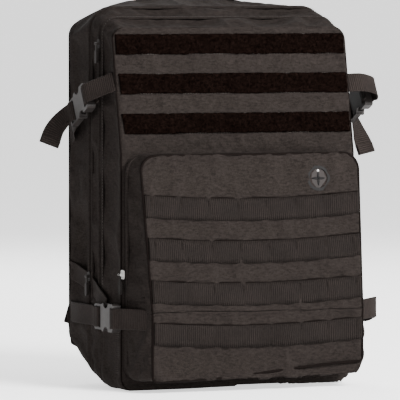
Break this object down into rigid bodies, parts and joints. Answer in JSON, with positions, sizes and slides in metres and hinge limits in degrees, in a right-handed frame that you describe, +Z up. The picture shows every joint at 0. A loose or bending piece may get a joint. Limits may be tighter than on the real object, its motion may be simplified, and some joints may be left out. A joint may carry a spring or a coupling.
{
  "type": "trauma backpack",
  "caption": "Soft medical backpack with fold-down zipped compartments, loop and ladder webbing, compression straps with side-release buckles and padded shoulder straps.",
  "frame": {"origin": "middle of the bounding box's lowest face, on the surface the pack stands on", "axes": "+X to the viewer's right as the pack's front is looked at, -Y out of the front pocket, +Z up"},
  "size_m": [0.4295, 0.2456, 0.48],
  "materials": {
    "pack_fabric": "woven polyester, matte, black-brown",
    "webbing": "ribbed webbing, matte",
    "loop_pile": "napped hook-and-loop pile",
    "mesh": "open knit mesh",
    "lining": "coated lining, slight sheen",
    "padding": "spacer mesh over foam",
    "zip_coil": "moulded coil on tape",
    "buckle_plastic": "moulded acetal, fine texture",
    "slider_metal": "dark enamelled zinc, worn edges",
    "pull_cord": "cord moulded into a grip",
    "port_rubber": "matte rubber",
    "port_disc": "grey rubber",
    "sheet_plastic": "semi-rigid sheet"
  },
  "bodies": {
    "root": {"rear_shell": "pack_fabric", "base_tub": "pack_fabric", "pocket_tub": "pack_fabric", "base_webbing": "webbing", "frame_sheet": "sheet_plastic", "hydration_sleeve": "lining", "back_pads": "padding", "main_zip_rear": "zip_coil", "lower_sockets": "buckle_plastic", "lower_front_webbing": "webbing", "compression_webbing": "webbing", "strap_wings": "pack_fabric", "adjuster_webbing": "webbing"},
    "handle": {"carry_handle": "webbing"},
    "harness_left": {"shoulder_strap_left": "padding", "strap_adjuster_left": "buckle_plastic"},
    "harness_right": {"shoulder_strap_right": "padding", "strap_adjuster_right": "buckle_plastic"},
    "mid_section": {"mid_gusset": "pack_fabric", "mesh_pocket": "mesh", "main_zip_front": "zip_coil", "second_zip_rear": "zip_coil"},
    "front_panel": {"front_shell": "pack_fabric", "organiser_panel": "lining", "admin_panel": "pack_fabric", "loop_strips": "loop_pile", "second_zip_front": "zip_coil", "pocket_zip_rear": "zip_coil", "upper_sockets": "buckle_plastic", "upper_front_webbing": "webbing"},
    "door": {"pocket_door": "pack_fabric", "door_webbing": "webbing", "pocket_zip_front": "zip_coil", "cable_port_ring": "port_rubber", "cable_port_disc": "port_disc"},
    "main_slider_left": {"main_slider_left": "slider_metal"},
    "main_puller_left": {"main_puller_left": "pull_cord"},
    "main_slider_right": {"main_slider_right": "slider_metal"},
    "main_puller_right": {"main_puller_right": "pull_cord"},
    "second_slider_left": {"second_slider_left": "slider_metal"},
    "second_puller_left": {"second_puller_left": "pull_cord"},
    "second_slider_right": {"second_slider_right": "slider_metal"},
    "second_puller_right": {"second_puller_right": "pull_cord"},
    "pocket_slider_left": {"pocket_slider_left": "slider_metal"},
    "pocket_puller_left": {"pocket_puller_left": "pull_cord"},
    "pocket_slider_right": {"pocket_slider_right": "slider_metal"},
    "pocket_puller_right": {"pocket_puller_right": "pull_cord"},
    "upper_plug_left": {"upper_plug_left": "buckle_plastic"},
    "upper_prong_left_a": {"upper_prong_left_a": "buckle_plastic"},
    "upper_prong_left_b": {"upper_prong_left_b": "buckle_plastic"},
    "upper_plug_right": {"upper_plug_right": "buckle_plastic"},
    "upper_prong_right_a": {"upper_prong_right_a": "buckle_plastic"},
    "upper_prong_right_b": {"upper_prong_right_b": "buckle_plastic"},
    "lower_plug_left": {"lower_plug_left": "buckle_plastic"},
    "lower_prong_left_a": {"lower_prong_left_a": "buckle_plastic"},
    "lower_prong_left_b": {"lower_prong_left_b": "buckle_plastic"},
    "lower_plug_right": {"lower_plug_right": "buckle_plastic"},
    "lower_prong_right_a": {"lower_prong_right_a": "buckle_plastic"},
    "lower_prong_right_b": {"lower_prong_right_b": "buckle_plastic"}
  },
  "joints": [
    {"name": "main_fold", "type": "hinge", "parent": "root", "child": "mid_section", "pos_m": [0, -0.121, 0.096], "axis": [1, 0, 0], "range_deg": [0, 40]},
    {"name": "second_fold", "type": "hinge", "parent": "mid_section", "child": "front_panel", "pos_m": [0, -0.121, 0.096], "axis": [1, 0, 0], "range_deg": [0, 45]},
    {"name": "pocket_fold", "type": "hinge", "parent": "front_panel", "child": "door", "pos_m": [0, -0.121, 0.096], "axis": [1, 0, 0], "range_deg": [0, 80]},
    {"name": "handle_lift", "type": "hinge", "parent": "root", "child": "handle", "pos_m": [0, 0.0956, 0.474], "axis": [1, 0, 0], "range_deg": [0, 170]},
    {"name": "strap_swing_left", "type": "hinge", "parent": "root", "child": "harness_left", "pos_m": [0, 0.0905, 0.426], "axis": [1, 0, 0], "range_deg": [0, 15], "deforming": ["adjuster_webbing"]},
    {"name": "strap_swing_right", "type": "hinge", "parent": "root", "child": "harness_right", "pos_m": [0, 0.0905, 0.426], "axis": [1, 0, 0], "range_deg": [0, 15]},
    {"name": "main_slide_left", "type": "slide", "parent": "root", "child": "main_slider_left", "axis": [0, 0, 1], "range_m": [0, 0.13]},
    {"name": "main_pull_left", "type": "hinge", "parent": "main_slider_left", "child": "main_puller_left", "pos_m": [-0.162, 0.026, 0.134], "axis": [0, 1, 0], "range_deg": [0, 150]},
    {"name": "main_slide_right", "type": "slide", "parent": "root", "child": "main_slider_right", "axis": [0, 0, 1], "range_m": [0, 0.13]},
    {"name": "main_pull_right", "type": "hinge", "parent": "main_slider_right", "child": "main_puller_right", "pos_m": [0.162, 0.026, 0.134], "axis": [0, -1, 0], "range_deg": [0, 150]},
    {"name": "second_slide_left", "type": "slide", "parent": "mid_section", "child": "second_slider_left", "axis": [0, 0, 1], "range_m": [-0.28, 0]},
    {"name": "second_pull_left", "type": "hinge", "parent": "second_slider_left", "child": "second_puller_left", "pos_m": [-0.162, -0.004, 0.418], "axis": [0, 1, 0], "range_deg": [0, 150]},
    {"name": "second_slide_right", "type": "slide", "parent": "mid_section", "child": "second_slider_right", "axis": [0, 0, 1], "range_m": [-0.28, 0]},
    {"name": "second_pull_right", "type": "hinge", "parent": "second_slider_right", "child": "second_puller_right", "pos_m": [0.162, -0.004, 0.418], "axis": [0, -1, 0], "range_deg": [0, 150]},
    {"name": "pocket_slide_left", "type": "slide", "parent": "front_panel", "child": "pocket_slider_left", "axis": [0, 0, 1], "range_m": [0, 0.11]},
    {"name": "pocket_pull_left", "type": "hinge", "parent": "pocket_slider_left", "child": "pocket_puller_left", "pos_m": [-0.1595, -0.069, 0.141], "axis": [0, 1, 0], "range_deg": [0, 150]},
    {"name": "pocket_slide_right", "type": "slide", "parent": "front_panel", "child": "pocket_slider_right", "axis": [0, 0, 1], "range_m": [0, 0.11]},
    {"name": "pocket_pull_right", "type": "hinge", "parent": "pocket_slider_right", "child": "pocket_puller_right", "pos_m": [0.1595, -0.069, 0.141], "axis": [0, -1, 0], "range_deg": [0, 150]},
    {"name": "upper_release_left", "type": "slide", "parent": "root", "child": "upper_plug_left", "axis": [0, 0.8879, -0.46], "range_m": [0, 0.03], "deforming": ["compression_webbing"]},
    {"name": "upper_squeeze_left_a", "type": "hinge", "parent": "upper_plug_left", "child": "upper_prong_left_a", "pos_m": [-0.176, 0.01995, 0.3485], "axis": [-1, 0, 0], "range_deg": [-7, 0], "stiffness_Nm_per_rad": 0.02},
    {"name": "upper_squeeze_left_b", "type": "hinge", "parent": "upper_plug_left", "child": "upper_prong_left_b", "pos_m": [-0.176, 0.01204, 0.33322], "axis": [-1, 0, 0], "range_deg": [0, 7], "stiffness_Nm_per_rad": 0.02},
    {"name": "upper_release_right", "type": "slide", "parent": "root", "child": "upper_plug_right", "axis": [0, 0.8879, -0.46], "range_m": [0, 0.03]},
    {"name": "upper_squeeze_right_a", "type": "hinge", "parent": "upper_plug_right", "child": "upper_prong_right_a", "pos_m": [0.2, 0.01204, 0.33322], "axis": [1, 0, 0], "range_deg": [-7, 0], "stiffness_Nm_per_rad": 0.02},
    {"name": "upper_squeeze_right_b", "type": "hinge", "parent": "upper_plug_right", "child": "upper_prong_right_b", "pos_m": [0.2, 0.01995, 0.3485], "axis": [1, 0, 0], "range_deg": [0, 7], "stiffness_Nm_per_rad": 0.02},
    {"name": "lower_release_left", "type": "slide", "parent": "root", "child": "lower_plug_left", "axis": [0, 1, 0], "range_m": [0, 0.03]},
    {"name": "lower_squeeze_left_a", "type": "hinge", "parent": "lower_plug_left", "child": "lower_prong_left_a", "pos_m": [-0.1633, -0.033, 0.0966], "axis": [-1, 0, 0], "range_deg": [-7, 0], "stiffness_Nm_per_rad": 0.02},
    {"name": "lower_squeeze_left_b", "type": "hinge", "parent": "lower_plug_left", "child": "lower_prong_left_b", "pos_m": [-0.1633, -0.033, 0.0794], "axis": [-1, 0, 0], "range_deg": [0, 7], "stiffness_Nm_per_rad": 0.02},
    {"name": "lower_release_right", "type": "slide", "parent": "root", "child": "lower_plug_right", "axis": [0, 1, 0], "range_m": [0, 0.03]},
    {"name": "lower_squeeze_right_a", "type": "hinge", "parent": "lower_plug_right", "child": "lower_prong_right_a", "pos_m": [0.1633, -0.033, 0.0794], "axis": [1, 0, 0], "range_deg": [-7, 0], "stiffness_Nm_per_rad": 0.02},
    {"name": "lower_squeeze_right_b", "type": "hinge", "parent": "lower_plug_right", "child": "lower_prong_right_b", "pos_m": [0.1633, -0.033, 0.0966], "axis": [1, 0, 0], "range_deg": [0, 7], "stiffness_Nm_per_rad": 0.02}
  ],
  "couplings": [
    {"joint": "upper_squeeze_left_b", "follows": "upper_squeeze_left_a", "ratio": -1},
    {"joint": "upper_squeeze_right_b", "follows": "upper_squeeze_right_a", "ratio": -1},
    {"joint": "lower_squeeze_left_b", "follows": "lower_squeeze_left_a", "ratio": -1},
    {"joint": "lower_squeeze_right_b", "follows": "lower_squeeze_right_a", "ratio": -1}
  ]
}
